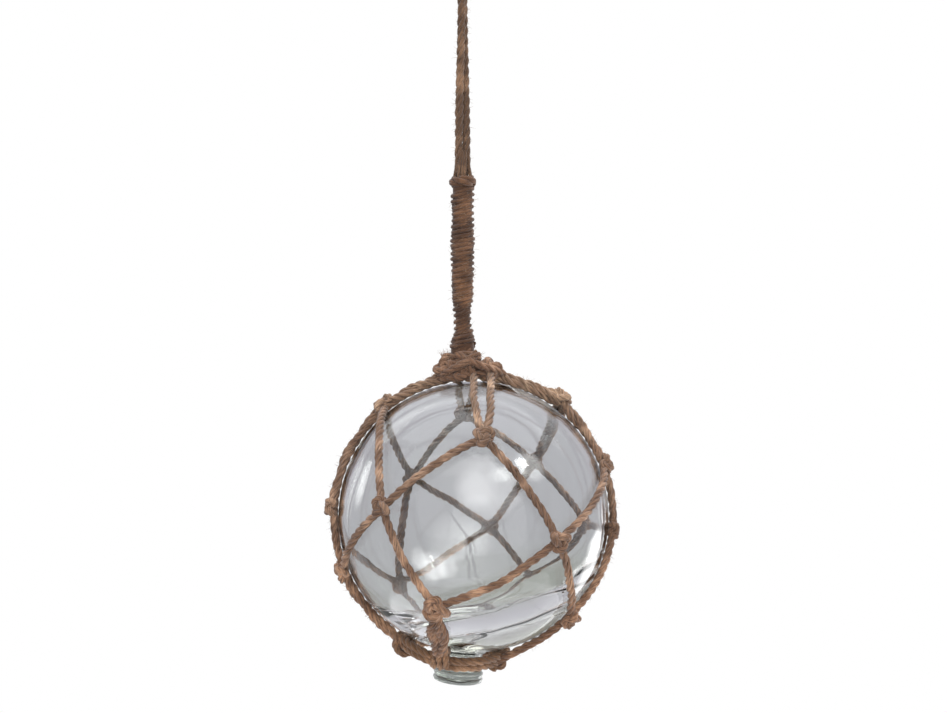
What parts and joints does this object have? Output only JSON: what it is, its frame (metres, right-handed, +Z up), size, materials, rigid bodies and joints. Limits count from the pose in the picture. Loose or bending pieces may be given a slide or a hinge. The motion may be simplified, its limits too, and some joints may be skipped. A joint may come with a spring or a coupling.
{
  "type": "glass float ball",
  "caption": "Decorative hollow glass float in a knotted twine net, with a served rope hanger that ends in an eye for a hook.",
  "frame": {"origin": "the hanging eye: inside top of the hanger's loop, where a hook bears", "axes": "+Z up, along the hanger; -Y is the front; +X is to the right seen from the front"},
  "size_m": [0.1087, 0.1027, 0.2972],
  "materials": {
    "glass": "clear hand-blown glass, faintly green where thick",
    "net_twine": "fuzzy three-ply jute twine, mid brown",
    "ring_twine": "dark red-brown jute twine",
    "serving_twine": "tightly wound brown jute, with loose fibres",
    "hanger_cord": "three-ply jute cord, brown"
  },
  "bodies": {
    "root": {"glass_float": "glass", "net": "net_twine", "foot_ring": "ring_twine", "crown_knot": "ring_twine", "whipping": "serving_twine", "whipping_collar": "serving_twine", "hanging_cord": "hanger_cord"}
  },
  "joints": []
}
